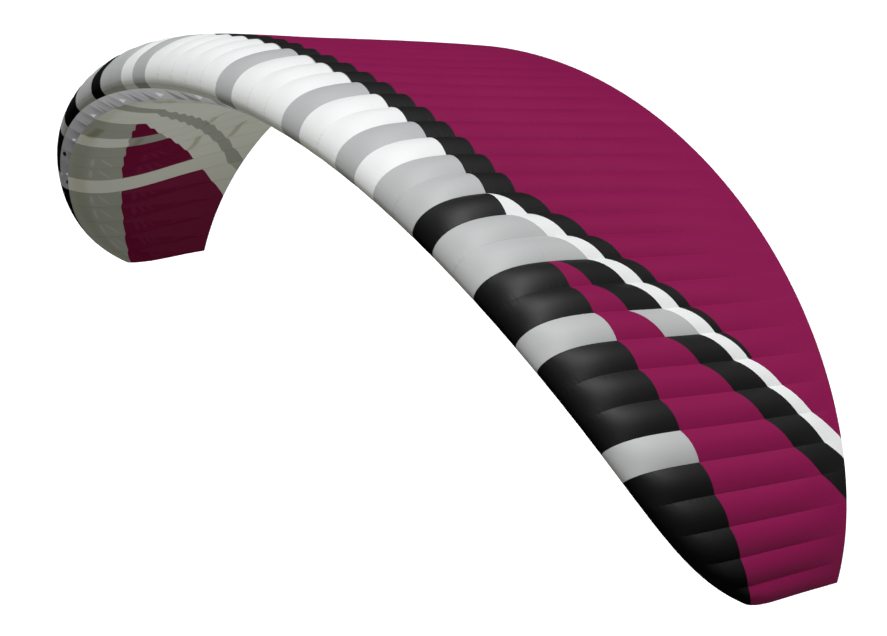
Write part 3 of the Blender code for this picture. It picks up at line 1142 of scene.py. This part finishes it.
def rib_marks(finish, from_tip, behind, down, colour):
    """The colour with the painted shadows deeper in the inlets, the painted shade towards the tips, the
    patches of painted light and the eyelets.
    """
    third = finish.maths("MODULO", from_tip, 3.0)
    second = finish.maths("MODULO", from_tip, 2.0)
    # Painted shadow deeper in the inlet, on the ribs without a bright patch.
    hollow_shadow = finish.rise(behind - slanting(down, HOLLOW_FRONT), -HOLLOW_SOFT, HOLLOW_SOFT)
    hollow_shadow = hollow_shadow * (behind < HOLLOW_REAR) * (third > 0.5) * finish.rise(from_tip, *HOLLOW_CHANGE)
    # A bright patch of painted light on every third rib.
    light_patch = (behind < slanting(down, LIGHT_PATCH_REAR)) * (behind > slanting(down, LIGHT_PATCH_FRONT))
    light_patch = light_patch * (behind > slanting(down, LIGHT_PATCH_FOOT)) * (third < 0.5) * (from_tip > LIGHT_PATCHES_FROM)
    off = behind - EYELET_PLACE[0]
    below = down - EYELET_PLACE[1] + off * EYELET_SLANT
    eyelet = oval(finish, off / EYELET_HALF[0], below / EYELET_HALF[1])
    eyelet = eyelet * (second > 0.5) * (from_tip < EYELETS_TO)

    colour = finish.blend(hollow_shadow * HOLLOW_SHARE, colour, HOLLOW_SHADOW_GREY)
    shade = RIB_TIP_SHADE + finish.rise(from_tip, *RIB_SHADE_CHANGE) * (RIB_MIDDLE_SHADE - RIB_TIP_SHADE)
    colour = finish.blend(light_patch, finish.tint(colour, shade), LIGHT_PATCH_WHITE)
    return finish.blend(eyelet, colour, EYELET_BLACK)


# The ribs with a bright patch of painted light.
lit_ribs = [number for number in range(MIDDLE_RIB + 1) if number % 3 == 0 and number > LIGHT_PATCHES_FROM]
print(f"ribs {', '.join(map(str, lit_ribs))} from each tip have a bright flap")

# %% Dress the ribs
RIB_DARK = (0.26, 0.26, 0.27, 1.0)
RIB_PALE = (0.66, 0.66, 0.675, 1.0)
# How far the colour goes from dark to pale at the mouth, and what the other things take away or add.
RIB_LEVEL = 0.75
RIB_DEPTH_LOSS = 0.6
RIB_DEPTH = (0.02, 0.12)  # metres behind the mouth
RIB_FOOT = (0.1, 1.0)  # share of the way down the mouth
RIB_TOP_LEFT = 0.15  # what is left of the loss at the mouth's top
RIB_MOTTLE_GAIN = 0.4
RIB_MOTTLE_SCALE = 3.0
RIB_THREAD_LOSS = 0.1
RIB_ROUGHNESS = 0.65
RIB_MOTTLE_ROUGHNESS = 0.1
RIB_BUMP = 0.5


def rib_finish(name):
    finish = Finish(name)
    place = finish.node("ShaderNodeTexCoord", out="Object")
    side, height = (finish.node("ShaderNodeSeparateXYZ", None, {"Vector": place}, out) for out in "YZ")
    threads = ripstop(finish, side, height)
    mottle = finish.noise(side, height, RIB_MOTTLE_SCALE) - 0.5
    behind, down = finish.map("mouth")
    from_tip = ribs_from_tip(finish, finish.map("number")[0])
    depth = RIB_TOP_LEFT + finish.rise(down, *RIB_FOOT) * (1 - RIB_TOP_LEFT)
    depth = depth * finish.rise(behind, *RIB_DEPTH)
    level = RIB_LEVEL + mottle * RIB_MOTTLE_GAIN - threads * RIB_THREAD_LOSS - depth * RIB_DEPTH_LOSS
    colour = finish.blend(level, RIB_DARK, RIB_PALE)
    glow(finish, rib_marks(finish, from_tip, behind, down, colour))
    finish.feed("Roughness", RIB_ROUGHNESS + mottle * RIB_MOTTLE_ROUGHNESS)
    finish.bump(threads * THREAD_HEIGHT, RIB_BUMP)
    return finish.material


rib_cloth = rib_finish("rib_ripstop")
for item, *_ in ribs:
    item.data.materials.clear()
    item.data.materials.append(rib_cloth)
print(f"{len(ribs)} ribs dressed")

# %% [markdown]
# ## What replaces what
#
# Each new piece stands for the plain solids of the same part, which are hidden, and rides on the wing's
# one body. Every piece is a sheet of cloth, and its flat size is worked out: the sails are about as wide
# as the flat span, and a rib is as long as its chord.

CURVED_SPAN = FLAT_SPAN * 1.06  # the swelling takes a little more cloth
# The sheet, its material, the start of its solids' names, and its length along the chord.
SAILS = (
    (nose, "nose_cloth", "nose_panels", 0.95),
    (upper, "upper_cloth", "upper_sail", 2.4),
    (lower, "lower_cloth", "lower_sail", 2.75),
)


def declare(item, slot, replaced, area):
    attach(item, "root")
    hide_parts(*replaced)


for item, slot, start, length in SAILS:
    solids = [node for node in nodes if node.startswith(start)]
    declare(item, slot, solids, min(flat_area(item), CURVED_SPAN * length))
    print(f"{item.name} stands for {len(solids)} solids")
for number, (item, chord, height) in enumerate(ribs):
    declare(item, "rib_cloth", [f"rib_{number:02d}"], flat_area(item) / 2)
print(f"{len(SAILS) + len(ribs)} pieces ride on the root body")

# %% [markdown]
# ## Camera
#
# The wing is seen from in front, from its left and from above, through a long lens, so that the near tip
# isn't swollen and the far one is still readable.

# %% Place the camera
CAMERA_PLACE = (21.79, -11.742, 5.973)
CAMERA_YAW_DEG = 59.82
CAMERA_PITCH_DEG = -16.81
LENS_MM = 142.05
SENSOR_MM = 36.0
CLIP_END = 2000.0

camera = bpy.data.objects.new("camera", bpy.data.cameras.new("camera"))
bpy.context.scene.collection.objects.link(camera)
camera.location = CAMERA_PLACE
camera.rotation_euler = (math.radians(90 + CAMERA_PITCH_DEG), 0.0, math.radians(CAMERA_YAW_DEG))
camera.data.lens = LENS_MM
camera.data.sensor_width = SENSOR_MM
camera.data.clip_end = CLIP_END
bpy.context.scene.camera = camera
print(f"the camera is {math.dist(CAMERA_PLACE, (0, 0, 0)):.1f} m from the wing")

# %% [markdown]
# ## Floor
#
# The wing flies, so the floor lies well below it. It glows a little, which keeps it pale to the horizon.
# It is left out of the bounced light, the gloss and the shadows, so that it doesn't change the light on
# the wing.

# %% Lay the floor
FLOOR_DROP = 6.0
FLOOR_HALF = 500.0
FLOOR_PAINT = (0.9, 0.9, 0.9, 1.0)
FLOOR_ROUGHNESS = 0.9
FLOOR_GLOW = 0.35
WHITE = (1.0, 1.0, 1.0, 1.0)

bpy.ops.mesh.primitive_plane_add(size=2 * FLOOR_HALF, location=(0, 0, cad_box[0][2] - FLOOR_DROP))
floor = bpy.context.object
floor.name = "floor"
paint = Finish("pale_floor")
paint.feed("Base Color", FLOOR_PAINT)
paint.feed("Roughness", FLOOR_ROUGHNESS)
paint.feed("Specular IOR Level", 0.0)
paint.feed("Emission Color", WHITE)
paint.feed("Emission Strength", FLOOR_GLOW)
floor.data.materials.append(paint.material)
floor.visible_diffuse = False
floor.visible_glossy = False
floor.visible_shadow = False
print(f"floor {FLOOR_DROP} m below the tips")

# %% [markdown]
# ## Sky
#
# The light of the sky comes only from low down: a warm grey ground below a soft horizon, and next to
# nothing above it, where the lamps do the work. The camera alone sees a white backdrop in its place.

# %% Paint the sky
SKY = (0.02, 0.02, 0.021, 1.0)
GROUND = (0.170, 0.172, 0.156, 1.0)
HORIZON_HALF = 0.15  # how steeply up or down the soft horizon ends

world = bpy.data.worlds.new("studio")
bpy.context.scene.world = world
world.use_nodes = True
air = Nodes(world.node_tree)
direction = air.node("ShaderNodeTexCoord", out="Generated")
upward = air.node("ShaderNodeSeparateXYZ", None, {"Vector": direction}, "Z")
above = air.node("ShaderNodeMapRange", None, {0: upward, 1: -HORIZON_HALF, 2: HORIZON_HALF})
seen = air.node("ShaderNodeLightPath", out="Is Camera Ray")
backdrop = air.blend(seen, air.blend(above, GROUND, SKY), WHITE)
air.plug(backdrop, world.node_tree.nodes["Background"].inputs["Color"])
world.cycles_visibility.glossy = False
print(f"{len(world.node_tree.nodes)} nodes make the sky")

# %% [markdown]
# ## Lamps
#
# A wide key light from above and in front lights the cloth. Its gloss would fall too far forward on the
# round cells, so it gives none, and a second lamp, which stands nearly straight above, gives the gloss
# and nothing else. Four weaker lamps from below and from the sides stand for the warm light that comes
# back from the ground.

# %% Light the wing
WARM_BOUNCE = (1.0, 1.01, 0.91)
# name: watts per square metre, degrees off the vertical, degrees round, degrees wide, what it gives
SUNS = {
    "key_light": (3.40, 22.5, -46.0, 25.0, "light"),
    "top_sheen": (3.40, 13.0, -22.0, 25.0, "gloss"),
    "front_bounce": (0.35, 120.0, -90.0, 60.0, "light"),
    "rear_bounce": (0.68, 120.0, 90.0, 60.0, "light"),
    "left_bounce": (0.32, 100.0, 0.0, 60.0, "light"),
    "right_bounce": (0.48, 100.0, 180.0, 60.0, "light"),
}

for name, (strength, tilt, turn, spread, gives) in SUNS.items():
    sun = bpy.data.objects.new(name, bpy.data.lights.new(name, "SUN"))
    bpy.context.scene.collection.objects.link(sun)
    sun.data.energy = strength
    sun.data.angle = math.radians(spread)
    sun.rotation_euler = (0.0, math.radians(tilt), math.radians(turn))
    sun.visible_diffuse = gives == "light"
    sun.visible_glossy = gives == "gloss"
    if name.endswith("bounce"):
        sun.data.color = WARM_BOUNCE
bpy.context.scene.view_settings.view_transform = "Standard"
print(f"{len(SUNS)} lamps")

# %% [markdown]
# ## Finish
#
